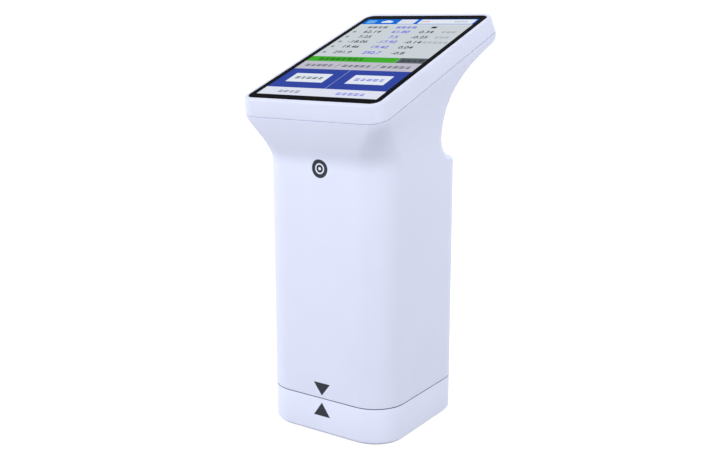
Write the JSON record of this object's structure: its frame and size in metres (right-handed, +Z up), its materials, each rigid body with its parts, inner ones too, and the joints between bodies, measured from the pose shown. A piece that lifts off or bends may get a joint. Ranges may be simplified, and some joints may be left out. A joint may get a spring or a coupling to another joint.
{
  "type": "color difference meter",
  "caption": "Upright colour difference meter: white column on a calibration cap, flared neck, tilted touch screen, aperture below, measuring key behind.",
  "frame": {"origin": "middle of the flat foot pad's underside, where the part stands", "axes": "+X to the right of someone who reads the screen, +Y to the back of the meter, +Z up"},
  "size_m": [0.058, 0.0824, 0.146],
  "materials": {
    "shell_white": "satin moulded plastic",
    "key_grey": "fine matt",
    "rubber_dark": "matt",
    "foam_dark": "matt foam",
    "tile_white": "glazed white reference",
    "inner_black": "matt",
    "nickel": "plated",
    "sphere_white": "diffuse white",
    "black_metal": "black anodised",
    "clear_glass": "polished",
    "board_green": "solder mask",
    "chip_black": "matt",
    "led_yellow": "clear cast",
    "battery_wrap": "foil",
    "tray_grey": "matt",
    "plunger_grey": "matt",
    "steel": "plain",
    "screen_glass": "polished",
    "tape_black": "matt",
    "panel_black": "polished",
    "backlight_white": "diffuse",
    "wire_red": "plain",
    "ribbon_orange": "plain"
  },
  "bodies": {
    "cap": {"calibration_cap": "shell_white", "foot_pad": "rubber_dark", "white_tile": "tile_white", "tile_cushion": "foam_dark", "tile_retainer": "inner_black", "cap_magnets": "nickel"},
    "meter": {"aperture_ring": "inner_black", "backlight_panel": "backlight_white", "base_magnets": "nickel", "base_screws": "steel", "battery_lead": "wire_red", "battery_pack": "battery_wrap", "battery_tray": "tray_grey", "board_ribbon": "ribbon_orange", "control_board": "board_green", "control_parts": "chip_black", "cover_glass": "screen_glass", "display_carrier": "tray_grey", "display_panel": "panel_black", "display_ribbon": "ribbon_orange", "display_tray": "steel", "glass_tape": "tape_black", "led_board": "board_green", "led_lead": "wire_red", "light_leds": "led_yellow", "main_board": "board_green", "main_chips": "chip_black", "main_housing": "shell_white", "measuring_base": "inner_black", "measuring_board": "board_green", "measuring_switch": "chip_black", "power_board": "board_green", "power_switch": "chip_black", "processor_shield": "steel", "radio_module": "steel", "sensor_board": "board_green", "sensor_chip": "chip_black", "sensor_lead": "wire_red", "sensor_lens": "clear_glass", "sensor_tube": "black_metal", "sphere_lower_half": "sphere_white", "sphere_upper_half": "sphere_white", "upper_shell": "shell_white", "usb_board": "board_green", "usb_socket": "steel", "usb_tongue": "chip_black"},
    "measuring_key": {"measuring_key": "key_grey", "measuring_plunger": "plunger_grey"},
    "power_key": {"power_key": "key_grey", "power_plunger": "plunger_grey"}
  },
  "joints": [
    {"name": "lift_off", "type": "slide", "parent": "cap", "child": "meter", "axis": [0, 0, 1], "range_m": [0, 0.025]},
    {"name": "measuring_key_press", "type": "slide", "parent": "meter", "child": "measuring_key", "axis": [0, -1, 0], "range_m": [0, 0.001], "stiffness_N_per_m": 1500},
    {"name": "power_key_press", "type": "slide", "parent": "meter", "child": "power_key", "axis": [1, 0, 0], "range_m": [0, 0.0004], "stiffness_N_per_m": 2500}
  ]
}
